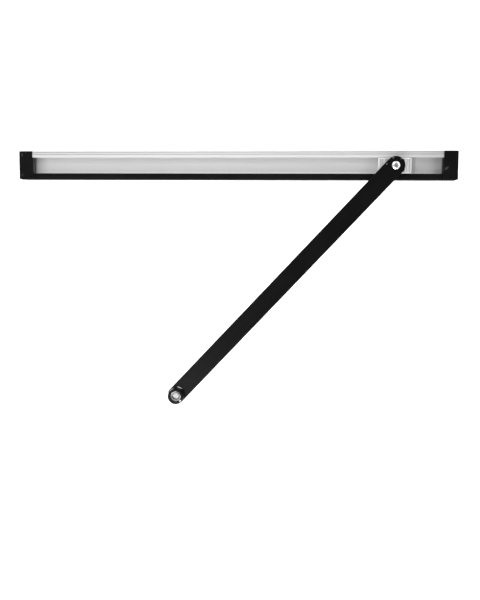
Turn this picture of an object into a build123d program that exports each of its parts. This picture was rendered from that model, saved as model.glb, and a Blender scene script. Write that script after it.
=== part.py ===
from build123d import *
import os
from math import atan2, cos, degrees, radians, sin

# Slide-rail track and arm set of a door closer, in millimetres.
# +X runs along the rail, +Y points at the surface that the rail is screwed to,
# +Z points out of the slot, and the origin is the centre of the fixing holes
# in the rail's back face.

# ---- driving dimensions ----
RAIL_LENGTH = 440.0  # over the end caps
RAIL_DEPTH = 28.8  # from the fixing surface to the front of the cover
RAIL_HEIGHT = 21.0
BACK_WALL = 2.4
COVER_WALL = 1.5
SLOT_WIDTH = 15.8
BACK_FLANGE = 6.6  # bare aluminium beside the slot, on the back side
TRACK_DEPTH = 8.0  # from the slot's edge down to the track's floor
SCREW_CHAMBER = 9.9  # clear height of the chamber that the fixing screws cross
CAP_LENGTH = 14.0
FIXING_HOLE = 5.5
OUTER_SPACING = 380.0
INNER_SPACING = 130.0

SLIDER_LENGTH = 32.4
SLIDER_NECK = 15.2
PIVOT_X = 159.7
SLIDER_MID_X = PIVOT_X - 0.7  # middle of the slider's length

ARM_REACH = 317.5  # from the pivot to the spindle socket
ARM_DOWN = 232.7  # how far the socket is in front of the slot's centre line
ARM_THICK = 6.0
ARM_WIDTH_EYE = 18.2
ARM_WIDTH_HUB = 17.7
ARM_LEAN = 0.45  # the bar's middle line passes this far beside the socket
EYE_RADIUS = 9.0
HUB_HEIGHT = 6.0  # above the arm's upper face
SOCKET_FLATS = 9.4
SOCKET_ROUND = 5.4  # radius that the socket's eight points are cut back to
SOCKET_DEPTH = 3.4

# ---- derived levels and places ----
FIT_GAP = 0.1  # between parts that are fixed to each other
RUN_GAP = 0.3  # between parts that slide on each other
FLOOR_WALL = 1.6
UNDER_WALL = 1.5
LIP_DROP = 3.1  # from the slot's edge to the underside of both lips
LIP_SETBACK = 0.8  # the metal lip ends this far in front of the cover's lip

FLOOR_UNDER = SCREW_CHAMBER / 2
FLOOR_TOP = FLOOR_UNDER + FLOOR_WALL
SLOT_Z = FLOOR_TOP + TRACK_DEPTH
RAIL_UNDER = SLOT_Z - RAIL_HEIGHT
CHAMBER_UNDER = RAIL_UNDER + UNDER_WALL
LIP_UNDER = SLOT_Z - LIP_DROP

FRONT_Y = -RAIL_DEPTH
METAL_FRONT_Y = FRONT_Y + COVER_WALL + FIT_GAP
FRONT_WALL = 2.2
CHANNEL_FRONT_Y = METAL_FRONT_Y + FRONT_WALL
SLOT_BACK_Y = -BACK_FLANGE
SLOT_FRONT_Y = SLOT_BACK_Y - SLOT_WIDTH
SLOT_MID_Y = (SLOT_BACK_Y + SLOT_FRONT_Y) / 2
COVER_UNDER_Y = -23.6  # back edge of the cover's lower lip

CAP_INNER_X = RAIL_LENGTH / 2 - CAP_LENGTH
CAP_END_WALL = 2.4
METAL_END_X = RAIL_LENGTH / 2 - CAP_END_WALL - FIT_GAP
CAP_PROUD = 1.0  # how far the cap stands above and below the rail

SLIDER_TOP = SLOT_Z + 0.8
WASHER_TOP = SLIDER_TOP + 0.9
ARM_UNDER = WASHER_TOP + RUN_GAP
ARM_TOP = ARM_UNDER + ARM_THICK

HUB_X = PIVOT_X - (ARM_REACH**2 - ARM_DOWN**2) ** 0.5
HUB_Y = SLOT_MID_Y - ARM_DOWN
HUB_TOP = ARM_TOP + HUB_HEIGHT
SOCKET_FLOOR = HUB_TOP - SOCKET_DEPTH
ARM_ANGLE = degrees(atan2(HUB_Y - SLOT_MID_Y, HUB_X - PIVOT_X))

PIVOT = (PIVOT_X, SLOT_MID_Y)
HUB = (HUB_X, HUB_Y)

os.makedirs("parts", exist_ok=True)


def save(builder, name):
    """Label a finished piece and write it."""
    builder.part.label = name
    export_step(builder.part, f"parts/{name}.step")


def slab(y_back, y_front, z_low, z_high, mode=Mode.ADD):
    """A rectangle of the rail's cross-section between two depths and two heights."""
    with Locations(((y_back + y_front) / 2, (z_low + z_high) / 2)):
        Rectangle(abs(y_back - y_front), z_high - z_low, mode=mode)


def level(place, z):
    """A horizontal plane at height z, centred on a place."""
    return Plane(origin=(place[0], place[1], z))


def upright(place):
    """An upright plane through a place, where a turned piece's half outline is drawn by radius and height."""
    return Plane(origin=(place[0], place[1], 0), x_dir=(1, 0, 0), z_dir=(0, -1, 0))


def upright_axis(place):
    """The axis that a turned piece is revolved about."""
    return Axis((place[0], place[1], 0), (0, 0, 1))


# ---- rail: a two-chamber aluminium extrusion ----
GROOVE_WIDTH = 0.6
GROOVE_DEPTH = 0.5
FLANGE_GROOVES = (-1.3, -3.3)
LEDGE_BACK_Y = -20.4
LEDGE_RISE = 0.6
ACCESS_HOLE = 9.0
STEP_BACK_Y = COVER_UNDER_Y + UNDER_WALL  # the underside steps up here to make room for the cover
STEP_UNDER = CHAMBER_UNDER + FIT_GAP
FIXING_PLACES = [
    (side * spacing / 2, 0) for side in (-1, 1) for spacing in (INNER_SPACING, OUTER_SPACING)
]

with BuildPart() as rail_profile:
    with BuildSketch(Plane.YZ.offset(-METAL_END_X)):
        slab(0, -BACK_WALL, RAIL_UNDER, SLOT_Z)
        slab(0, SLOT_BACK_Y, LIP_UNDER, SLOT_Z)
        slab(0, METAL_FRONT_Y, FLOOR_UNDER, FLOOR_TOP)
        slab(LEDGE_BACK_Y, CHANNEL_FRONT_Y, FLOOR_TOP, FLOOR_TOP + LEDGE_RISE)
        slab(0, COVER_UNDER_Y + FIT_GAP, RAIL_UNDER, CHAMBER_UNDER)
        slab(STEP_BACK_Y, METAL_FRONT_Y, STEP_UNDER, STEP_UNDER + UNDER_WALL)
        slab(STEP_BACK_Y, COVER_UNDER_Y + FIT_GAP, RAIL_UNDER, STEP_UNDER + UNDER_WALL)
        slab(CHANNEL_FRONT_Y, METAL_FRONT_Y, STEP_UNDER, SLOT_Z - COVER_WALL - FIT_GAP)
        slab(SLOT_FRONT_Y - LIP_SETBACK, METAL_FRONT_Y, LIP_UNDER, SLOT_Z - COVER_WALL - FIT_GAP)
        for groove_y in FLANGE_GROOVES:
            slab(
                groove_y - GROOVE_WIDTH / 2,
                groove_y + GROOVE_WIDTH / 2,
                SLOT_Z - GROOVE_DEPTH,
                SLOT_Z,
                mode=Mode.SUBTRACT,
            )
    extrude(amount=2 * METAL_END_X)
    # fixing holes in the back wall, with access holes for the screwdriver in the front wall
    with BuildSketch(Plane.XZ):
        with Locations(*FIXING_PLACES):
            Circle(FIXING_HOLE / 2)
    extrude(amount=BACK_WALL, mode=Mode.SUBTRACT)
    with BuildSketch(Plane.XZ.offset(-STEP_BACK_Y)):
        with Locations(*FIXING_PLACES):
            Circle(ACCESS_HOLE / 2)
    extrude(amount=STEP_BACK_Y - METAL_FRONT_Y, mode=Mode.SUBTRACT)
save(rail_profile, "rail_profile")

# ---- front cover: clips over the front wall and forms the front edge of the slot ----
COVER_END_X = CAP_INNER_X - FIT_GAP
COVER_EDGE_RADIUS = 1.2
HOOK_THICK = 0.6
HOOK_DROP = 1.2

with BuildPart() as front_cover:
    with BuildSketch(Plane.YZ.offset(-COVER_END_X)):
        slab(FRONT_Y + COVER_WALL, FRONT_Y, RAIL_UNDER, SLOT_Z)
        slab(SLOT_FRONT_Y, FRONT_Y, SLOT_Z - COVER_WALL, SLOT_Z)
        slab(COVER_UNDER_Y, FRONT_Y, RAIL_UNDER, RAIL_UNDER + COVER_WALL)
        # hook that grips the edge of the aluminium lip
        slab(
            SLOT_FRONT_Y,
            SLOT_FRONT_Y - HOOK_THICK,
            SLOT_Z - COVER_WALL - HOOK_DROP,
            SLOT_Z - COVER_WALL,
        )
    extrude(amount=2 * COVER_END_X)
    front_edges = front_cover.edges().filter_by(Axis.X).group_by(Axis.Y)[0]
    fillet(front_edges, radius=COVER_EDGE_RADIUS)
save(front_cover, "front_cover")

# ---- end caps: a shell over the rail's end, with a plug in each chamber ----
BUFFER_FACE_X = CAP_INNER_X - 1.4
BUFFER_THICK = 3.0
BUFFER_EDGE = 0.5
PLUG_INNER_X = BUFFER_FACE_X + BUFFER_THICK
PLUG_WALL = 1.8
PLUG_RISE = 0.8  # how far the plug's collar reaches up between the lips
CAP_STEP = 0.6  # the end plate is this much smaller than the shell
CAP_EDGE_RADIUS = 1.0
GUSSET = 1.4
CAP_OPENING = 1.0  # the shell's hollow is drawn this far past the fixing surface, so that it is open there
CLOSE = 0.01  # for picking edges by their place


def end_cap(side):
    """The cap of one end; side is -1 for the left end and 1 for the right."""
    shell_end = METAL_END_X + FIT_GAP
    with BuildPart() as cap:
        # shell around the profile, open towards the rail and towards the fixing surface
        with BuildSketch(Plane.YZ.offset(side * CAP_INNER_X)):
            slab(-FIT_GAP, FRONT_Y, RAIL_UNDER - CAP_PROUD, SLOT_Z + CAP_PROUD)
            slab(
                CAP_OPENING,
                METAL_FRONT_Y - FIT_GAP,
                RAIL_UNDER - FIT_GAP,
                SLOT_Z + FIT_GAP,
                mode=Mode.SUBTRACT,
            )
        extrude(amount=side * (shell_end - CAP_INNER_X))
        # end plate, a little smaller than the shell
        with BuildSketch(Plane.YZ.offset(side * shell_end)):
            slab(
                -FIT_GAP,
                FRONT_Y + CAP_STEP,
                RAIL_UNDER - CAP_PROUD + CAP_STEP,
                SLOT_Z + CAP_PROUD - CAP_STEP,
            )
        extrude(amount=side * (RAIL_LENGTH / 2 - shell_end))
        outer_face = cap.faces().filter_by(Axis.X).sort_by(Axis.X)[-1 if side > 0 else 0]
        fillet(outer_face.edges(), radius=CAP_EDGE_RADIUS)
        long_edges = cap.edges().filter_by(Axis.X)
        shell_corners = long_edges.filter_by_position(Axis.Y, FRONT_Y - CLOSE, FRONT_Y + CLOSE)
        fillet(shell_corners, radius=CAP_EDGE_RADIUS)
        # collar in the slot, which carries the buffer
        with BuildSketch(Plane.YZ.offset(side * PLUG_INNER_X)):
            slab(
                -BACK_WALL - FIT_GAP,
                CHANNEL_FRONT_Y + FIT_GAP,
                FLOOR_TOP + LEDGE_RISE + FIT_GAP,
                LIP_UNDER - FIT_GAP,
            )
            slab(SLOT_BACK_Y - FIT_GAP, SLOT_FRONT_Y + FIT_GAP, LIP_UNDER - FIT_GAP, SLOT_Z + PLUG_RISE)
        extrude(amount=side * (shell_end - PLUG_INNER_X))
        # hollow tongue in the screw chamber
        with BuildSketch(Plane.YZ.offset(side * CAP_INNER_X)):
            slab(
                -BACK_WALL - FIT_GAP,
                STEP_BACK_Y + FIT_GAP,
                CHAMBER_UNDER + FIT_GAP,
                FLOOR_UNDER - FIT_GAP,
            )
            slab(
                -BACK_WALL - PLUG_WALL,
                STEP_BACK_Y + PLUG_WALL,
                CHAMBER_UNDER + PLUG_WALL,
                FLOOR_UNDER - PLUG_WALL,
                mode=Mode.SUBTRACT,
            )
        extrude(amount=side * (shell_end - CAP_INNER_X))
        # small gusset where the shell meets the front edge of the slot
        with BuildSketch(Plane.XY.offset(SLOT_Z + FIT_GAP)):
            with BuildLine():
                Polyline(
                    (side * CAP_INNER_X, SLOT_FRONT_Y - GUSSET),
                    (side * CAP_INNER_X, SLOT_FRONT_Y + GUSSET),
                    (side * (CAP_INNER_X - GUSSET), SLOT_FRONT_Y),
                    (side * (CAP_INNER_X - GUSSET), SLOT_FRONT_Y - GUSSET),
                    close=True,
                )
            make_face()
        extrude(amount=CAP_PROUD - FIT_GAP)
    return cap


def end_buffer(side):
    """The rubber buffer of one end, in front of the cap's plug."""
    with BuildPart() as buffer:
        with BuildSketch(Plane.YZ.offset(side * BUFFER_FACE_X)):
            slab(
                SLOT_BACK_Y - FIT_GAP,
                SLOT_FRONT_Y + FIT_GAP,
                FLOOR_TOP + LEDGE_RISE + FIT_GAP,
                SLOT_Z - FIT_GAP,
            )
        extrude(amount=side * BUFFER_THICK)
        face_edges = buffer.faces().filter_by(Axis.X).sort_by(Axis.X)[0 if side > 0 else -1].edges()
        chamfer(face_edges, length=BUFFER_EDGE)
    return buffer


for side, end_name in ((-1, "left"), (1, "right")):
    save(end_cap(side), f"end_cap_{end_name}")
    save(end_buffer(side), f"end_buffer_{end_name}")

# ---- slider: moulded, with pockets in its face and a nut in its underside ----
SHOULDER_TOP = LIP_UNDER - RUN_GAP
SLIDER_UNDER = FLOOR_TOP + LEDGE_RISE + RUN_GAP
SHOULDER_BACK_Y = -BACK_WALL - RUN_GAP
SHOULDER_FRONT_Y = CHANNEL_FRONT_Y + RUN_GAP
POCKET_WIDTH = 12.6
POCKET_DEPTH = 1.6
END_POCKET = 3.5
END_FRAME = 1.7  # solid edge between an end pocket and the slider's end
END_POCKET_X = SLIDER_LENGTH / 2 - END_FRAME - END_POCKET / 2
POCKET_RIB = 0.7
INNER_POCKET = 9.6
BOSS_RADIUS = 7.0
SLIDER_CORNER = 0.8
NUT_FLATS = 8.0
NUT_THICK = 4.0
NUT_LIFT = 0.4  # the nut sits this far inside its pocket
THREAD_RADIUS = 2.5
THREAD_CHAMFER = 0.5
SHANK_RADIUS = 3.5
NUT_CORNER = NUT_FLATS / 2 / cos(radians(30))
NUT_TOP = SLIDER_UNDER + NUT_LIFT + NUT_THICK

with BuildPart() as slider_body:
    with BuildSketch(Plane.YZ.offset(SLIDER_MID_X - SLIDER_LENGTH / 2)):
        slab(SHOULDER_BACK_Y, SHOULDER_FRONT_Y, SLIDER_UNDER, SHOULDER_TOP)
        slab(
            SLOT_MID_Y + SLIDER_NECK / 2,
            SLOT_MID_Y - SLIDER_NECK / 2,
            SLIDER_UNDER,
            SLIDER_TOP,
        )
    extrude(amount=SLIDER_LENGTH)
    chamfer(slider_body.edges().filter_by(Axis.Z), length=SLIDER_CORNER)
    with BuildSketch(level((SLIDER_MID_X, SLOT_MID_Y), SLIDER_TOP)):
        with Locations((-END_POCKET_X, 0), (END_POCKET_X, 0)):
            Rectangle(END_POCKET, POCKET_WIDTH)
            Rectangle(POCKET_RIB, POCKET_WIDTH, mode=Mode.SUBTRACT)
        Rectangle(2 * INNER_POCKET, POCKET_WIDTH)
        with Locations((PIVOT_X - SLIDER_MID_X, 0)):
            Circle(BOSS_RADIUS, mode=Mode.SUBTRACT)
    extrude(amount=-POCKET_DEPTH, mode=Mode.SUBTRACT)
    with BuildSketch(level(PIVOT, SLIDER_UNDER)):
        RegularPolygon(NUT_CORNER, 6)
    extrude(amount=NUT_LIFT + NUT_THICK, mode=Mode.SUBTRACT)
    with BuildSketch(level(PIVOT, NUT_TOP)):
        Circle(THREAD_RADIUS)
    extrude(amount=SLIDER_TOP - NUT_TOP, mode=Mode.SUBTRACT)
save(slider_body, "slider_body")

with BuildPart() as slider_nut:
    with BuildSketch(level(PIVOT, SLIDER_UNDER + NUT_LIFT)):
        RegularPolygon(NUT_CORNER, 6)
        Circle(THREAD_RADIUS, mode=Mode.SUBTRACT)
    extrude(amount=NUT_THICK)
save(slider_nut, "slider_nut")

WASHER_RADIUS = 6.5

with BuildPart() as spacer_washer:
    with BuildSketch(level(PIVOT, SLIDER_TOP)):
        Circle(WASHER_RADIUS)
        Circle(SHANK_RADIUS + FIT_GAP, mode=Mode.SUBTRACT)
    extrude(amount=WASHER_TOP - SLIDER_TOP)
save(spacer_washer, "spacer_washer")

# ---- pivot: a shoulder screw through a flanged bush in the arm's eye ----
RECESS_RADIUS = 5.6
RECESS_DEPTH = 1.2
BUSH_RADIUS = 4.5
BUSH_FLANGE = 0.6
BUSH_CLEARANCE = 0.04
HEAD_RADIUS = 3.8
HEAD_HEIGHT = 2.5
HEAD_DOME = 1.1  # height of the rounded upper part
HEAD_GAP = 0.15  # under the head, so that the arm turns freely
LOBES = 6
LOBE_CIRCLE = 2.0
LOBE_RADIUS = 0.55
KEY_DEPTH = 1.4
RECESS_FLOOR = ARM_TOP - RECESS_DEPTH
FLANGE_TOP = RECESS_FLOOR + BUSH_FLANGE
HEAD_UNDER = FLANGE_TOP + HEAD_GAP
HEAD_TOP = HEAD_UNDER + HEAD_HEIGHT
DOME_RADIUS = (HEAD_DOME**2 + HEAD_RADIUS**2) / (2 * HEAD_DOME)
DOME_MID_R = HEAD_RADIUS / 2
DOME_MID_Z = HEAD_TOP - DOME_RADIUS + (DOME_RADIUS**2 - DOME_MID_R**2) ** 0.5

with BuildPart() as pivot_screw:
    with BuildSketch(upright(PIVOT)):
        with BuildLine():
            Polyline(
                (0, HEAD_TOP),
                (0, SLIDER_UNDER),
                (THREAD_RADIUS - THREAD_CHAMFER, SLIDER_UNDER),
                (THREAD_RADIUS, SLIDER_UNDER + THREAD_CHAMFER),
                (THREAD_RADIUS, SLIDER_TOP),
                (SHANK_RADIUS, SLIDER_TOP),
                (SHANK_RADIUS, HEAD_UNDER),
                (HEAD_RADIUS, HEAD_UNDER),
                (HEAD_RADIUS, HEAD_TOP - HEAD_DOME),
            )
            ThreePointArc(
                (HEAD_RADIUS, HEAD_TOP - HEAD_DOME),
                (DOME_MID_R, DOME_MID_Z),
                (0, HEAD_TOP),
            )
        make_face()
    revolve(axis=upright_axis(PIVOT))
    with BuildSketch(level(PIVOT, HEAD_TOP)):
        Circle(LOBE_CIRCLE)
        with PolarLocations(LOBE_CIRCLE, LOBES):
            Circle(LOBE_RADIUS)
    extrude(amount=-KEY_DEPTH, mode=Mode.SUBTRACT)
save(pivot_screw, "pivot_screw")

with BuildPart() as eye_bush:
    with BuildSketch(level(PIVOT, ARM_UNDER)):
        Circle(BUSH_RADIUS)
    extrude(amount=RECESS_FLOOR - ARM_UNDER)
    with BuildSketch(level(PIVOT, RECESS_FLOOR)):
        Circle(RECESS_RADIUS - FIT_GAP)
    extrude(amount=BUSH_FLANGE)
    with BuildSketch(level(PIVOT, ARM_UNDER)):
        Circle(SHANK_RADIUS + BUSH_CLEARANCE)
    extrude(amount=FLANGE_TOP - ARM_UNDER, mode=Mode.SUBTRACT)
save(eye_bush, "eye_bush")

# ---- arm: a flat bar with a round eye, and a turned hub pressed into its other end ----
HUB_END_RADIUS = 8.4
EYE_CORNER = 2.5  # the bar's front side runs this far past the pivot
EYE_CORNER_FOOT = (-5.0, 6.5)  # the corner slopes from here, inside the eye
BACK_CORNER = 2.3  # the bar's back side runs this far past the socket's centre
BACK_FACET = 5.0  # and meets the round end this far past it
SPIGOT_RADIUS = 7.2
EDGE_ROUND = 0.3
direction = (cos(radians(ARM_ANGLE)), sin(radians(ARM_ANGLE)), 0)
arm_plane = Plane(origin=(PIVOT_X, SLOT_MID_Y, ARM_UNDER), x_dir=direction, z_dir=(0, 0, 1))

with BuildPart() as arm_bar:
    with BuildSketch(arm_plane):
        Circle(EYE_RADIUS)
        with Locations((ARM_REACH, 0)):
            Circle(HUB_END_RADIUS)
        with BuildLine():
            Polyline(
                EYE_CORNER_FOOT,
                (-EYE_CORNER, ARM_WIDTH_EYE / 2),
                (ARM_REACH, ARM_WIDTH_HUB / 2 - ARM_LEAN),
                (ARM_REACH + BACK_FACET, -((HUB_END_RADIUS**2 - BACK_FACET**2) ** 0.5)),
                (ARM_REACH + BACK_CORNER, -ARM_WIDTH_HUB / 2 - ARM_LEAN),
                (0, -EYE_RADIUS),
                close=True,
            )
        make_face()
    extrude(amount=ARM_THICK)
    fillet(arm_bar.faces().sort_by(Axis.Z)[-1].edges(), radius=EDGE_ROUND)
    fillet(arm_bar.faces().sort_by(Axis.Z)[0].edges(), radius=EDGE_ROUND)
    with BuildSketch(level(PIVOT, ARM_UNDER)):
        Circle(BUSH_RADIUS)
    extrude(amount=ARM_THICK, mode=Mode.SUBTRACT)
    with BuildSketch(level(PIVOT, RECESS_FLOOR)):
        Circle(RECESS_RADIUS)
    extrude(amount=RECESS_DEPTH, mode=Mode.SUBTRACT)
    with BuildSketch(level(HUB, ARM_UNDER)):
        Circle(SPIGOT_RADIUS)
    extrude(amount=ARM_THICK, mode=Mode.SUBTRACT)
save(arm_bar, "arm_bar")

# ---- hub: spindle socket above, captive screw from below ----
BOSS_OUTER = 8.0
BOSS_FILLET = 0.4  # hollow fillet at the boss's foot
RIM_ROUND = 1.0
COUNTERBORE_RADIUS = 6.1
COUNTERBORE_TOP = ARM_UNDER + 3.8
SCREW_HOLE_RADIUS = 3.9
CLIP_THICK = 0.8
CLIP_LEVEL = COUNTERBORE_TOP + 1.4
CLIP_GROOVE_RADIUS = 4.7
ARC_INSET = 1 - cos(radians(45))  # middle of a quarter circle, from the corner that it rounds

with BuildPart() as arm_hub:
    with BuildSketch(upright(HUB)):
        with BuildLine():
            Polyline(
                (BOSS_OUTER, HUB_TOP - RIM_ROUND),
                (BOSS_OUTER, ARM_TOP + BOSS_FILLET),
            )
            ThreePointArc(
                (BOSS_OUTER, ARM_TOP + BOSS_FILLET),
                (BOSS_OUTER + BOSS_FILLET * ARC_INSET, ARM_TOP + BOSS_FILLET * ARC_INSET),
                (BOSS_OUTER + BOSS_FILLET, ARM_TOP),
            )
            Polyline(
                (BOSS_OUTER + BOSS_FILLET, ARM_TOP),
                (SPIGOT_RADIUS, ARM_TOP),
                (SPIGOT_RADIUS, ARM_UNDER),
                (0, ARM_UNDER),
                (0, HUB_TOP),
                (BOSS_OUTER - RIM_ROUND, HUB_TOP),
            )
            ThreePointArc(
                (BOSS_OUTER - RIM_ROUND, HUB_TOP),
                (BOSS_OUTER - RIM_ROUND * ARC_INSET, HUB_TOP - RIM_ROUND * ARC_INSET),
                (BOSS_OUTER, HUB_TOP - RIM_ROUND),
            )
        make_face()
    revolve(axis=upright_axis(HUB))
    # eight-point socket: two squares an eighth of a turn apart, in line with the arm, with blunt points
    with BuildSketch(level(HUB, SOCKET_FLOOR)):
        Rectangle(SOCKET_FLATS, SOCKET_FLATS, rotation=ARM_ANGLE)
        Rectangle(SOCKET_FLATS, SOCKET_FLATS, rotation=ARM_ANGLE + 45)
        Circle(SOCKET_ROUND, mode=Mode.INTERSECT)
    extrude(amount=SOCKET_DEPTH, mode=Mode.SUBTRACT)
    with BuildSketch(level(HUB, ARM_UNDER)):
        Circle(COUNTERBORE_RADIUS)
    extrude(amount=COUNTERBORE_TOP - ARM_UNDER, mode=Mode.SUBTRACT)
    with BuildSketch(level(HUB, COUNTERBORE_TOP)):
        Circle(SCREW_HOLE_RADIUS)
    extrude(amount=SOCKET_FLOOR - COUNTERBORE_TOP, mode=Mode.SUBTRACT)
    # groove in the screw hole, which the clip snaps into
    with BuildSketch(level(HUB, CLIP_LEVEL)):
        Circle(CLIP_GROOVE_RADIUS)
    extrude(amount=CLIP_THICK + FIT_GAP, mode=Mode.SUBTRACT)
save(arm_hub, "arm_hub")

SCREW_RADIUS = 3.3
SCREW_NECK = 2.8  # the clip sits round this groove of the screw
SCREW_HEAD_RADIUS = 5.8
SCREW_TIP = SOCKET_FLOOR - 0.7
TIP_CHAMFER = 0.4
SPRING_WASHER = 1.2
HEX_KEY = 5.0
HEX_KEY_DEPTH = 1.6
SCREW_HEAD_TOP = COUNTERBORE_TOP - SPRING_WASHER
HEAD_SINK = 0.2  # the head sits this far inside the hub
HEAD_CHAMFER = 0.5
SCREW_HEAD_UNDER = ARM_UNDER + HEAD_SINK
WASHER_SPLIT = 1.2
SPLIT_ANGLE = 20

with BuildPart() as hub_screw:
    with BuildSketch(level(HUB, SCREW_HEAD_UNDER)):
        Circle(SCREW_HEAD_RADIUS)
    extrude(amount=SCREW_HEAD_TOP - SCREW_HEAD_UNDER)
    chamfer(hub_screw.faces().sort_by(Axis.Z)[0].edges(), length=HEAD_CHAMFER)
    with BuildSketch(level(HUB, SCREW_HEAD_TOP)):
        Circle(SCREW_RADIUS)
    extrude(amount=SCREW_TIP - SCREW_HEAD_TOP)
    chamfer(hub_screw.faces().sort_by(Axis.Z)[-1].edges(), length=TIP_CHAMFER)
    with BuildSketch(level(HUB, CLIP_LEVEL)):
        Circle(SCREW_RADIUS)
        Circle(SCREW_NECK, mode=Mode.SUBTRACT)
    extrude(amount=CLIP_THICK + FIT_GAP, mode=Mode.SUBTRACT)
    with BuildSketch(level(HUB, SCREW_HEAD_UNDER)):
        RegularPolygon(HEX_KEY / 2 / cos(radians(30)), 6)
    extrude(amount=HEX_KEY_DEPTH, mode=Mode.SUBTRACT)
save(hub_screw, "hub_screw")

with BuildPart() as hub_spring_washer:
    with BuildSketch(level(HUB, SCREW_HEAD_TOP)):
        Circle(SCREW_HEAD_RADIUS)
        Circle(SCREW_RADIUS + FIT_GAP, mode=Mode.SUBTRACT)
        with Locations((SCREW_HEAD_RADIUS, 0)):
            Rectangle(SCREW_HEAD_RADIUS, WASHER_SPLIT, rotation=SPLIT_ANGLE, mode=Mode.SUBTRACT)
    extrude(amount=SPRING_WASHER)
save(hub_spring_washer, "hub_spring_washer")

CLIP_RADIUS = 4.6
CLIP_CLEARANCE = 0.05
CLIP_MOUTH = 3.2

with BuildPart() as screw_clip:
    with BuildSketch(level(HUB, CLIP_LEVEL)):
        Circle(CLIP_RADIUS)
        Circle(SCREW_NECK + CLIP_CLEARANCE, mode=Mode.SUBTRACT)
        with Locations((0, CLIP_RADIUS)):
            Rectangle(CLIP_MOUTH, CLIP_RADIUS, mode=Mode.SUBTRACT)
    extrude(amount=CLIP_THICK)
save(screw_clip, "screw_clip")

print("hub", HUB, "arm angle", ARM_ANGLE, "levels", SLOT_Z, ARM_UNDER, ARM_TOP, SOCKET_FLOOR, HUB_TOP)
SLIDER_REACH = BUFFER_FACE_X - SLIDER_LENGTH / 2
print("slider travel", SLIDER_REACH - SLIDER_MID_X, "and", -SLIDER_REACH - SLIDER_MID_X)
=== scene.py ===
from math import cos, pi, radians, sin

import bpy
from mathutils import Matrix, Vector


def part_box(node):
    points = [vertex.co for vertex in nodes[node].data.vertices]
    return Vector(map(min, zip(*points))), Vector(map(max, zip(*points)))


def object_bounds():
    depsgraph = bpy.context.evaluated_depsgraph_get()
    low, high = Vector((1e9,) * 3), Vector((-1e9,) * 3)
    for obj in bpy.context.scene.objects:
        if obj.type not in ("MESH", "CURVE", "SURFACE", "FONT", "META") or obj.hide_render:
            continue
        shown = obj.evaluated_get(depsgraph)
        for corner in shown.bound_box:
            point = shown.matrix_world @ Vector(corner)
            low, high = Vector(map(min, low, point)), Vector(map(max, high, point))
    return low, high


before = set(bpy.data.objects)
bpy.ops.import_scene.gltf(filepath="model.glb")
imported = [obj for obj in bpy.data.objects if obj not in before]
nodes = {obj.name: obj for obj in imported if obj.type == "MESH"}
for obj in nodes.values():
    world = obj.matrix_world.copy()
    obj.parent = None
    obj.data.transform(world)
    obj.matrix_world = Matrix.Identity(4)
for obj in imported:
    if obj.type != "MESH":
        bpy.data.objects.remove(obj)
cad_low, cad_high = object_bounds()
scene = bpy.context.scene
MM = 0.001

# ---- places read from the pieces' boxes ----
rail_low, rail_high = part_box("rail_profile")
cover_front_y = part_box("front_cover")[0].y
cap_left_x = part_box("end_cap_left")[0].x
hub_low, hub_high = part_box("arm_hub")
head_low, head_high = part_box("pivot_screw")
slider_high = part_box("slider_body")[1]
hub_centre = (hub_low + hub_high) / 2
pivot_centre = (head_low + head_high) / 2
rail_mid = Vector((0, cover_front_y / 2, rail_high.z))

# ---- camera: above the slot, a little to the right, looking almost straight down ----
CAMERA_DISTANCE = 0.900
CAMERA_SIDE = 0.107
CAMERA_FORWARD = 0.039
CAMERA_YAW = radians(6.30)
CAMERA_PITCH = radians(-6.025)
CAMERA_ROLL = radians(0.29)
SENSOR = 36.0  # millimetres, along the picture's long side
LENS = 54.08
NEAREST = 0.01
FARTHEST = 20.0


def make_camera():
    """The photographer's camera, placed from the middle of the rail's slot side."""
    data = bpy.data.cameras.new("camera")
    data.sensor_width = SENSOR
    data.lens = LENS
    data.clip_start = NEAREST
    data.clip_end = FARTHEST
    camera = bpy.data.objects.new("camera", data)
    scene.collection.objects.link(camera)
    turn = Matrix.Rotation(CAMERA_YAW, 3, "Y") @ Matrix.Rotation(CAMERA_PITCH, 3, "X")
    turn = turn @ Matrix.Rotation(CAMERA_ROLL, 3, "Z")
    place = rail_mid + Vector((CAMERA_SIDE, -CAMERA_FORWARD, CAMERA_DISTANCE))
    camera.matrix_world = Matrix.Translation(place) @ turn.to_4x4()
    scene.camera = camera


# ---- stage: a pale floor well below the part, soft lights above it ----
FLOOR_DROP = 0.45
FLOOR_HALF = 6.0
FLOOR_TONE = 0.93
FLOOR_GLOW = 0.45

SKY_BRIGHT_WAY = (-0.62, -0.78, 0.0)  # the room is brighter at the front left
SKY_FAR_SIDE = 0.20
SKY_BRIGHT_SIDE = 0.74
SKY_SIDE_START = -0.05  # how far a direction leans the bright way, as a cosine
SKY_SIDE_END = 0.6
SKY_HORIZON = 1.026
SKY_HORIZON_TOP = 0.45  # the horizon's glow is full below this height, as a sine
SKY_HORIZON_FADE = 0.94

part_middle = (0, -0.12, 0)
# name, place, aim, width and height, watts
AREA_LIGHTS = [
    ("box_back", (-0.10, 0.30, 0.45), (-0.05, 0, 0), (0.4, 0.25), 1.5),
    ("box_front", (-0.10, -0.85, 0.60), part_middle, (0.6, 0.4), 4.4),
    ("box_front_left", (-0.357, -0.632, 1.12), hub_centre, (0.3, 0.3), 2.7),
    ("key_right", (1.9, 1.7, 2.0), part_middle, (1.4, 1.4), 15),
    ("box_right", (1.20, -0.05, 1.05), (0.05, -0.01, 0), (0.35, 0.35), 3.5),
    ("kicker_front_right", (0.95, -1.25, 0.80), hub_centre, (0.15, 0.15), 3.0),
]


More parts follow.
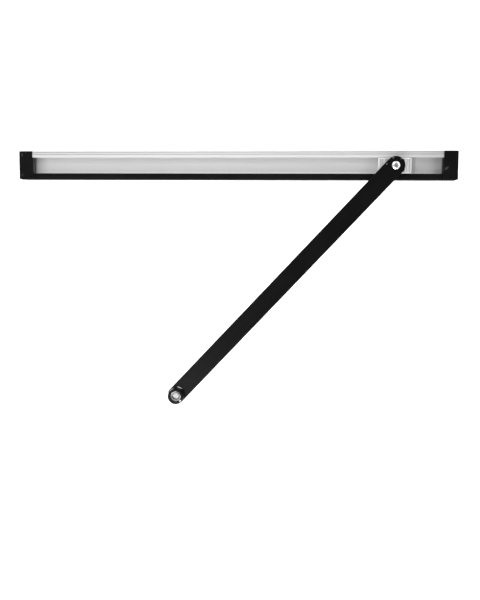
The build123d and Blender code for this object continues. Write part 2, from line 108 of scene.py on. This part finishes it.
def make_floor():
    """A square of pale paper that glows a little, so that it stays even under the part."""
    z = cad_low.z - FLOOR_DROP
    signs = [(-1, -1), (1, -1), (1, 1), (-1, 1)]
    mesh = bpy.data.meshes.new("floor")
    mesh.from_pydata([(x * FLOOR_HALF, y * FLOOR_HALF, z) for x, y in signs], [], [(0, 1, 2, 3)])
    floor = bpy.data.objects.new("floor", mesh)
    scene.collection.objects.link(floor)
    mat, _, shader = new_material("floor_paper")
    shader.inputs["Base Color"].default_value = (*grey(FLOOR_TONE), 1)
    shader.inputs["Roughness"].default_value = 0.9
    shader.inputs["Emission Color"].default_value = (1, 1, 1, 1)
    shader.inputs["Emission Strength"].default_value = FLOOR_GLOW
    mesh.materials.append(mat)


def make_area_light(name, place, aim, size, watts):
    data = bpy.data.lights.new(name, "AREA")
    data.shape = "RECTANGLE"
    data.size, data.size_y = size
    data.energy = watts
    light = bpy.data.objects.new(name, data)
    scene.collection.objects.link(light)
    light.location = place
    light.rotation_euler = (Vector(aim) - Vector(place)).to_track_quat("-Z", "Y").to_euler()


def make_sky():
    """Dim straight overhead, brighter low down and towards the front left, like a room behind soft boxes."""
    world = bpy.data.worlds.new("studio")
    scene.world = world
    world.use_nodes = True
    tree = world.node_tree
    direction = tree.nodes.new("ShaderNodeTexCoord").outputs["Generated"]
    lean = add_node(tree, "ShaderNodeVectorMath", operation="DOT_PRODUCT")
    lean.inputs[1].default_value = SKY_BRIGHT_WAY
    tree.links.new(direction, lean.inputs[0])
    side = spread(tree, lean.outputs["Value"], SKY_FAR_SIDE, SKY_BRIGHT_SIDE, SKY_SIDE_START, SKY_SIDE_END)
    parts = tree.nodes.new("ShaderNodeSeparateXYZ")
    tree.links.new(direction, parts.inputs[0])
    low_down = spread(tree, parts.outputs["Z"], SKY_HORIZON, 0.0, SKY_HORIZON_TOP, SKY_HORIZON_FADE)
    background = tree.nodes["Background"]
    background.inputs["Color"].default_value = (1, 1, 1, 1)
    tree.links.new(combine(tree, "MAXIMUM", side, low_down), background.inputs["Strength"])


def make_lights():
    make_sky()
    for light in AREA_LIGHTS:
        make_area_light(*light)
    scene.view_settings.view_transform = "Standard"
    scene.view_settings.look = "None"


# ---- material helpers ----
def grey(value):
    return (value, value, value)


def new_material(name):
    mat = bpy.data.materials.new(name)
    mat.use_nodes = True
    return mat, mat.node_tree, mat.node_tree.nodes["Principled BSDF"]


def add_node(tree, kind, **settings):
    """A new node; a key that names an input sets it, any other sets the node's own setting."""
    node = tree.nodes.new(kind)
    for key, value in settings.items():
        if key in node.inputs:
            node.inputs[key].default_value = value
        else:
            setattr(node, key, value)
    return node


def own_place(tree):
    """The piece's own coordinates, in metres."""
    return tree.nodes.new("ShaderNodeTexCoord").outputs["Object"]


def own_axes(tree):
    """The piece's own coordinates as outputs X, Y and Z."""
    parts = tree.nodes.new("ShaderNodeSeparateXYZ")
    tree.links.new(own_place(tree), parts.inputs[0])
    return parts.outputs


def coordinates(tree, scale, centre=(0, 0, 0)):
    """The piece's own coordinates, less a centre and times a scale for each axis."""
    shift = add_node(tree, "ShaderNodeVectorMath", operation="SUBTRACT")
    shift.inputs[1].default_value = centre
    tree.links.new(own_place(tree), shift.inputs[0])
    stretch = add_node(tree, "ShaderNodeVectorMath", operation="MULTIPLY")
    stretch.inputs[1].default_value = scale
    tree.links.new(shift.outputs[0], stretch.inputs[0])
    return stretch.outputs[0]


def noise(tree, scale, detail, centre=(0, 0, 0)):
    """Noise with a number of waves in each metre, the same along each axis or one for each."""
    scale = scale if isinstance(scale, tuple) else (scale, scale, scale)
    node = add_node(tree, "ShaderNodeTexNoise", Scale=1.0, Detail=detail)
    tree.links.new(coordinates(tree, scale, centre), node.inputs["Vector"])
    return node.outputs["Fac"]


def spread(tree, value, low, high, start=0.3, end=0.7):
    """Maps a value's start..end to low..high, clamped."""
    node = add_node(tree, "ShaderNodeMapRange")
    node.inputs["From Min"].default_value = start
    node.inputs["From Max"].default_value = end
    node.inputs["To Min"].default_value = low
    node.inputs["To Max"].default_value = high
    tree.links.new(value, node.inputs["Value"])
    return node.outputs["Result"]


def blend_colours(tree, factor, first, second):
    """A mix of two colours; each is a colour or a socket."""
    node = add_node(tree, "ShaderNodeMix", data_type="RGBA")
    tree.links.new(factor, node.inputs["Factor"])
    sockets = [s for s in node.inputs if s.type == "RGBA"]
    for value, socket in zip((first, second), sockets):
        if isinstance(value, bpy.types.NodeSocket):
            tree.links.new(value, socket)
        else:
            socket.default_value = (*value, 1)
    return [s for s in node.outputs if s.type == "RGBA"][0]


def combine(tree, operation, first, second=0.0):
    """One step of arithmetic; each value is a number or a socket."""
    node = add_node(tree, "ShaderNodeMath", operation=operation)
    for index, value in enumerate((first, second)):
        if isinstance(value, bpy.types.NodeSocket):
            tree.links.new(value, node.inputs[index])
        else:
            node.inputs[index].default_value = value
    return node.outputs[0]


def bump(tree, shader, height, distance, strength=1.0):
    node = add_node(tree, "ShaderNodeBump", Strength=strength, Distance=distance)
    tree.links.new(height, node.inputs["Height"])
    tree.links.new(node.outputs["Normal"], shader.inputs["Normal"])


# ---- masks: 1 where something shows, 0 elsewhere ----
EDGE_FACING = 0.80  # cosine between the rounded and the true normal, at an edge and on a flat
FLAT_FACING = 0.98
RAGGED_WAVES = 1200
RAGGED_DEPTH = 0.25
HIGHLIGHT_SOFTNESS = 0.6
SOCKET_MASK_RADIUS = 5.6 * MM
BARE_UNDER = 3.1 * MM  # the socket is bare metal between these two depths under the hub's rim
BARE_TO = 3.6 * MM


def edge_mask(tree, radius):
    """Sharp edges, from how much a rounded normal leans away from the true one."""
    rounded = add_node(tree, "ShaderNodeBevel", samples=6, Radius=radius)
    true = tree.nodes.new("ShaderNodeNewGeometry")
    dot = add_node(tree, "ShaderNodeVectorMath", operation="DOT_PRODUCT")
    tree.links.new(rounded.outputs["Normal"], dot.inputs[0])
    tree.links.new(true.outputs["Normal"], dot.inputs[1])
    return spread(tree, dot.outputs["Value"], 1.0, 0.0, EDGE_FACING, FLAT_FACING)


def height_mask(tree, low, high):
    """Everything between two heights."""
    height = own_axes(tree)["Z"]
    above = combine(tree, "GREATER_THAN", height, low)
    return combine(tree, "MULTIPLY", above, combine(tree, "LESS_THAN", height, high))


def patch(tree, centre, half_length, half_width, angle=0.0, soft=0.35):
    """The inside of an ellipse in plan, with a soft ragged edge."""
    place = add_node(tree, "ShaderNodeMapping", vector_type="TEXTURE")
    place.inputs["Location"].default_value = (centre[0], centre[1], 0)
    place.inputs["Rotation"].default_value = (0, 0, angle)
    place.inputs["Scale"].default_value = (half_length, half_width, 1)
    tree.links.new(own_place(tree), place.inputs["Vector"])
    flat = add_node(tree, "ShaderNodeVectorMath", operation="MULTIPLY")
    flat.inputs[1].default_value = (1, 1, 0)
    tree.links.new(place.outputs[0], flat.inputs[0])
    length = add_node(tree, "ShaderNodeVectorMath", operation="LENGTH")
    tree.links.new(flat.outputs[0], length.inputs[0])
    ragged = spread(tree, noise(tree, RAGGED_WAVES, 3), -RAGGED_DEPTH, RAGGED_DEPTH)
    reach = combine(tree, "ADD", length.outputs["Value"], ragged)
    return spread(tree, reach, 1.0, 0.0, 1.0 - soft, 1.0 + soft)


def around(centre, radius, bearing):
    """A place at a radius and a bearing in degrees from a centre, in plan."""
    turn = radians(bearing)
    return (centre.x + radius * cos(turn), centre.y + radius * sin(turn))


def edge_mark(centre, radius, bearing, half_length, half_width, amount=1.0):
    """A maker of masks: a near-white mark lying along a round edge; it makes the hub's painted glints and
    the light marks on the arm's eye.
    """
    place = around(centre, radius, bearing)
    turn = radians(bearing + 90)
    return lambda tree: combine(tree, "MULTIPLY", patch(tree, place, half_length, half_width, turn), amount)


def soft_highlight(place, half_length, half_width, degrees_round):
    """A maker of masks: a very soft patch on a flat face, for a painted highlight."""
    turn = radians(degrees_round)
    return lambda tree: patch(tree, place, half_length, half_width, turn, HIGHLIGHT_SOFTNESS)


def socket_floor(tree):
    """The machined floor of the socket, which the paint doesn't reach."""
    inside = patch(tree, hub_centre, SOCKET_MASK_RADIUS, SOCKET_MASK_RADIUS, soft=0.01)
    deep = height_mask(tree, hub_high.z - BARE_TO, hub_high.z - BARE_UNDER)
    return combine(tree, "MULTIPLY", inside, deep)


# ---- aluminium ----
BRUSHED_WAVES = (3, 2600, 2600)  # long streaks along the rail
SLOW_WAVES = (6, 160, 160)
TRACK_MID_Y = pivot_centre.y
TRACK_TOP = rail_high.z - 1.2 * MM  # everything lower is inside the slot
LEDGE_Y = -20.4 * MM  # in front of this line the floor of the track is painted lighter, a painted highlight
LEDGE_FADE = 0.3 * MM
BACK_HALF_START = TRACK_MID_Y - 1 * MM
BACK_HALF_END = TRACK_MID_Y + 4 * MM
UNDER_LIP_START = TRACK_MID_Y + 6 * MM
UNDER_LIP_END = TRACK_MID_Y + 7.5 * MM
GROOVE_FLOOR = rail_high.z - 0.7 * MM
GROOVE_TOP = rail_high.z - 0.2 * MM
TRACK_END_START = 192 * MM  # painted shade: the track is painted darker between these distances from the rail's middle
TRACK_END_FULL = 206 * MM
SHADED_END_START = 155 * MM  # painted shade: the right end is painted darker
SHADED_END_FULL = 210 * MM
BELOW_TRACK = rail_high.z - 8.3 * MM
BACK_FACE_Y = -0.02 * MM
FAR_BELOW = -1.0


def satin_aluminium():
    """Anodised extrusion: fine lines along its length, with slow changes of tone."""
    mat, tree, shader = new_material("satin_aluminium")
    place = own_axes(tree)
    lines = noise(tree, BRUSHED_WAVES, 4)
    broad = noise(tree, SLOW_WAVES, 3)
    tone = blend_colours(tree, spread(tree, lines, 0, 1), grey(0.59), grey(0.66))
    tone = blend_colours(tree, spread(tree, broad, 0.0, 0.35), tone, grey(0.67))

    # painted light: the sides of the track, its back half and its front ledge, are painted brighter than its
    # middle, against the shade of the lips
    in_track = height_mask(tree, rail_low.z, TRACK_TOP)
    back_half = spread(tree, place["Y"], 0.0, 0.5, BACK_HALF_START, BACK_HALF_END)
    under_lip = spread(tree, place["Y"], 1.0, 0.4, UNDER_LIP_START, UNDER_LIP_END)
    back_half = combine(tree, "MULTIPLY", back_half, under_lip)
    ledge_highlight = spread(tree, place["Y"], 0.8, 0.0, LEDGE_Y - LEDGE_FADE, LEDGE_Y + LEDGE_FADE)
    painted_track_light = combine(tree, "MULTIPLY", in_track, combine(tree, "MAXIMUM", back_half, ledge_highlight))
    tone = blend_colours(tree, painted_track_light, tone, grey(0.80))

    # painted shade: the flange's fine grooves are painted darker
    tone = blend_colours(tree, height_mask(tree, GROOVE_FLOOR, GROOVE_TOP), tone, grey(0.36))

    # painted shade: the ends of the track and the right end of the rail are painted darker
    from_middle = combine(tree, "ABSOLUTE", place["X"])
    shaded_track_end = spread(tree, from_middle, 0.0, 1.0, TRACK_END_START, TRACK_END_FULL)
    tone = blend_colours(tree, combine(tree, "MULTIPLY", in_track, shaded_track_end), tone, grey(0.42))
    shaded_right_end = spread(tree, place["X"], 0.0, 1.0, SHADED_END_START, SHADED_END_FULL)
    tone = blend_colours(tree, shaded_right_end, tone, grey(0.47))

    # painted shade: the back, which lies against the door, and the underside are painted darker
    back_face = combine(tree, "GREATER_THAN", place["Y"], BACK_FACE_Y)
    shaded_back_and_underside = combine(tree, "MAXIMUM", back_face, height_mask(tree, FAR_BELOW, BELOW_TRACK))
    tone = blend_colours(tree, shaded_back_and_underside, tone, blend_colours(tree, lines, grey(0.30), grey(0.40)))

    tree.links.new(tone, shader.inputs["Base Color"])
    shader.inputs["Metallic"].default_value = 0.35
    tree.links.new(spread(tree, lines, 0.38, 0.52), shader.inputs["Roughness"])
    bump(tree, shader, lines, 0.02 * MM)
    return mat


# ---- black pieces ----
BLACK = (0.0022, 0.0022, 0.0023)
LIGHTER_BLACK = (0.0034, 0.0034, 0.0035)
WORN_EDGE = grey(0.012)
# painted highlight on the end caps
CAP_HIGHLIGHT = grey(0.045)
SPECK = grey(0.06)
SPECK_CELLS = (320, 320, 320)
SPECK_RARITY = 0.96
TURNED_WAVES = (700, 700, 2500)
# near white: painted glints on the hub, and light marks on the arm's eye
NEAR_WHITE_MARK = grey(0.92)
MARK_METALLIC = 0.35  # the socket's bare steel, the painted glints and the light marks are partly metallic, partly diffuse


def black_plastic(name, grain, roughness, highlights=()):
    """Moulded black plastic with a fine spark-eroded grain, slightly polished edges, and faint painted
    highlights.
    """
    mat, tree, shader = new_material(name)
    fine = noise(tree, grain, 3)
    slow = noise(tree, 35, 2)
    edges = edge_mask(tree, 0.5 * MM)
    tone = blend_colours(tree, spread(tree, slow, 0, 1), BLACK, LIGHTER_BLACK)
    tone = blend_colours(tree, combine(tree, "MULTIPLY", edges, 0.5), tone, WORN_EDGE)
    # painted highlights: faint soft lighter patches on the caps
    for make_mask in highlights:
        tone = blend_colours(tree, make_mask(tree), tone, CAP_HIGHLIGHT)
    tree.links.new(tone, shader.inputs["Base Color"])
    rough = spread(tree, slow, roughness - 0.05, roughness + 0.06)
    rough = combine(tree, "SUBTRACT", rough, combine(tree, "MULTIPLY", edges, 0.08))
    tree.links.new(rough, shader.inputs["Roughness"])
    shader.inputs["Specular IOR Level"].default_value = 0.11
    bump(tree, shader, fine, 0.03 * MM, 0.6)
    return mat


def light_specks(tree):
    """A mask of tiny dots in a few of the cells of a Voronoi pattern."""
    cells = add_node(tree, "ShaderNodeTexVoronoi", Scale=1.0, Randomness=1.0)
    tree.links.new(coordinates(tree, SPECK_CELLS), cells.inputs["Vector"])
    dot = spread(tree, cells.outputs["Distance"], 1.0, 0.0, 0.05, 0.12)
    chosen = add_node(tree, "ShaderNodeSeparateColor")
    tree.links.new(cells.outputs["Color"], chosen.inputs["Color"])
    rare = combine(tree, "GREATER_THAN", chosen.outputs["Red"], SPECK_RARITY)
    return combine(tree, "MULTIPLY", dot, rare)


def black_paint(name, gloss, sheen, marks_and_glints, bare=None):
    """Satin black powder coat: orange peel, slow gloss changes, tiny light specks, thinner along the edges.

    The mask makers in the fourth argument give places painted near white, painted glints on the hub and
    light marks on the arm's eye; bare makes one of bare steel.
    """
    mat, tree, shader = new_material(name)
    peel = noise(tree, 900, 2)
    slow = noise(tree, 30, 3)
    specks = light_specks(tree)
    edges = edge_mask(tree, 0.4 * MM)
    tone = blend_colours(tree, spread(tree, slow, 0, 1), BLACK, LIGHTER_BLACK)
    tone = blend_colours(tree, combine(tree, "MULTIPLY", edges, 0.4), tone, WORN_EDGE)
    tone = blend_colours(tree, specks, tone, SPECK)
    rough = spread(tree, slow, gloss, gloss + 0.06)
    metal = 0.0
    # painted glints and light marks, near white
    for make_mask in marks_and_glints:
        mask = make_mask(tree)
        tone = blend_colours(tree, mask, tone, NEAR_WHITE_MARK)
        metal = combine(tree, "MAXIMUM", metal, mask)
    if bare:
        mask = bare(tree)
        steel = blend_colours(tree, noise(tree, TURNED_WAVES, 3), grey(0.54), grey(0.68))
        tone = blend_colours(tree, mask, tone, steel)
        rough = combine(tree, "ADD", rough, combine(tree, "MULTIPLY", mask, 0.12))
        metal = combine(tree, "MAXIMUM", metal, mask)
    tree.links.new(tone, shader.inputs["Base Color"])
    tree.links.new(rough, shader.inputs["Roughness"])
    tree.links.new(combine(tree, "MULTIPLY", metal, MARK_METALLIC), shader.inputs["Metallic"])
    shader.inputs["Specular IOR Level"].default_value = sheen
    height = combine(tree, "ADD", peel, combine(tree, "MULTIPLY", specks, 0.6))
    bump(tree, shader, height, 0.04 * MM, 0.5)
    return mat


# ---- slider, steel and rubber ----
FLOW_WAVES = (60, 220, 120)
POCKET_TOP = slider_high.z - 0.3 * MM  # just under the slider's face
END_FRAME_START = slider_high.x - 2.4 * MM
END_FRAME_FULL = slider_high.x - 1.7 * MM
SPECKLE_DARKER = 0.88


def slider_plastic():
    """Light grey acetal with faint flow marks, with painted shade in its pockets and at its right end."""
    mat, tree, shader = new_material("slider_plastic")
    flow = noise(tree, FLOW_WAVES, 3, pivot_centre)
    fine = noise(tree, 1500, 2)
    edges = edge_mask(tree, 0.4 * MM)
    tone = blend_colours(tree, spread(tree, flow, 0, 1), grey(0.70), grey(0.76))
    tone = blend_colours(tree, combine(tree, "MULTIPLY", edges, 0.5), tone, grey(0.79))
    # painted shade: the pockets are painted a little darker
    tone = blend_colours(tree, height_mask(tree, 0.0, POCKET_TOP), tone, grey(0.70))
    # painted shade: the frame at the right end is painted darker
    end_frame = spread(tree, own_axes(tree)["X"], 0.0, 1.0, END_FRAME_START, END_FRAME_FULL)
    tone = blend_colours(tree, end_frame, tone, grey(0.50))
    tree.links.new(tone, shader.inputs["Base Color"])
    tree.links.new(spread(tree, flow, 0.46, 0.58), shader.inputs["Roughness"])
    shader.inputs["Specular IOR Level"].default_value = 0.3
    shader.inputs["Subsurface Weight"].default_value = 0.08
    shader.inputs["Subsurface Radius"].default_value = grey(1 * MM)
    bump(tree, shader, fine, 0.02 * MM, 0.5)
    return mat


def turned_steel(name, centre, tone, roughness, ring_pitch):
    """Plated steel with turning rings about an upright axis."""
    mat, tree, shader = new_material(name)
    length = add_node(tree, "ShaderNodeVectorMath", operation="LENGTH")
    tree.links.new(coordinates(tree, (1, 1, 0), centre), length.inputs[0])
    phase = combine(tree, "MULTIPLY", length.outputs["Value"], 2 * pi / ring_pitch)
    rings = combine(tree, "SINE", phase)
    speckle = noise(tree, 1800, 3)
    colour = blend_colours(tree, spread(tree, speckle, 0, 1), grey(tone * SPECKLE_DARKER), grey(tone))
    tree.links.new(colour, shader.inputs["Base Color"])
    shader.inputs["Metallic"].default_value = 1.0
    tree.links.new(spread(tree, speckle, roughness, roughness + 0.10), shader.inputs["Roughness"])
    height = combine(tree, "ADD", combine(tree, "MULTIPLY", rings, 0.3), speckle)
    bump(tree, shader, height, 0.015 * MM, 0.6)
    return mat


def rubber():
    mat, tree, shader = new_material("buffer_rubber")
    fine = noise(tree, 700, 4)
    tone = blend_colours(tree, spread(tree, fine, 0, 1), grey(0.004), grey(0.007))
    tree.links.new(tone, shader.inputs["Base Color"])
    tree.links.new(spread(tree, fine, 0.28, 0.36), shader.inputs["Roughness"])
    bump(tree, shader, fine, 0.01 * MM, 0.5)
    return mat


# ---- painted highlights on the caps, painted glints on the hub, light marks on the arm's eye ----
# places of the painted highlights on the end caps
right_cap_highlight = (rail_high.x - 9 * MM, pivot_centre.y - 2.6 * MM)
left_cap_back_highlight = (cap_left_x + 3.4 * MM, -3.9 * MM)
left_cap_front_highlight = (cap_left_x + 3.6 * MM, -24.2 * MM)
cap_highlights = [
    soft_highlight(right_cap_highlight, 2.0 * MM, 0.9 * MM, 40),
    soft_highlight(left_cap_back_highlight, 1.5 * MM, 0.5 * MM, 90),
    soft_highlight(left_cap_front_highlight, 1.3 * MM, 0.4 * MM, 90),
]
# painted glint: a bright arc at the foot of the hub's boss
foot_glint = edge_mark(hub_centre, 8.95 * MM, 68, 2.3 * MM, 0.5 * MM)
# light marks near the edge of the arm's eye, and the foot's painted glint
arm_marks_and_glint = [
    edge_mark(pivot_centre, 7.7 * MM, 112, 0.5 * MM, 0.4 * MM, 0.35),
    edge_mark(pivot_centre, 9.0 * MM, 172, 0.45 * MM, 0.4 * MM, 0.35),
    edge_mark(pivot_centre, 7.8 * MM, 52, 0.4 * MM, 0.3 * MM, 0.3),
    foot_glint,
]
# painted glints on the hub's rim and foot
hub_glints = [
    edge_mark(hub_centre, 6.4 * MM, -40, 1.1 * MM, 0.45 * MM),
    edge_mark(hub_centre, 8.2 * MM, 140, 0.9 * MM, 0.35 * MM, 0.7),
    edge_mark(hub_centre, 8.1 * MM, 122, 1.7 * MM, 0.3 * MM, 0.4),
    foot_glint,
]


def dress(node_names, mat):
    """Gives CAD nodes a material."""
    for name in node_names:
        piece = nodes[name]
        piece.data.materials.clear()
        piece.data.materials.append(mat)


make_camera()
make_floor()
make_lights()

dress(["rail_profile"], satin_aluminium())
dress(["front_cover"], black_plastic("black_cover", 1600, 0.36))
dress(["end_cap_left", "end_cap_right"], black_plastic("black_plastic", 1100, 0.42, cap_highlights))
dress(["end_buffer_left", "end_buffer_right"], rubber())
dress(["slider_body"], slider_plastic())
dress(["spacer_washer", "eye_bush"], black_plastic("black_polymer", 1400, 0.4))
dress(["arm_bar"], black_paint("black_paint", 0.30, 0.11, arm_marks_and_glint))
dress(["arm_hub"], black_paint("hub_paint", 0.26, 0.09, hub_glints, socket_floor))
dress(["pivot_screw"], turned_steel("bright_steel", pivot_centre, 0.86, 0.2, 0.35 * MM))
dress(["slider_nut"], turned_steel("nut_zinc", pivot_centre, 0.72, 0.3, 0.3 * MM))
dress(["hub_screw", "hub_spring_washer"], turned_steel("zinc_steel", hub_centre, 0.62, 0.45, 0.3 * MM))
dress(["screw_clip"], turned_steel("clip_steel", hub_centre, 0.25, 0.35, 0.3 * MM))
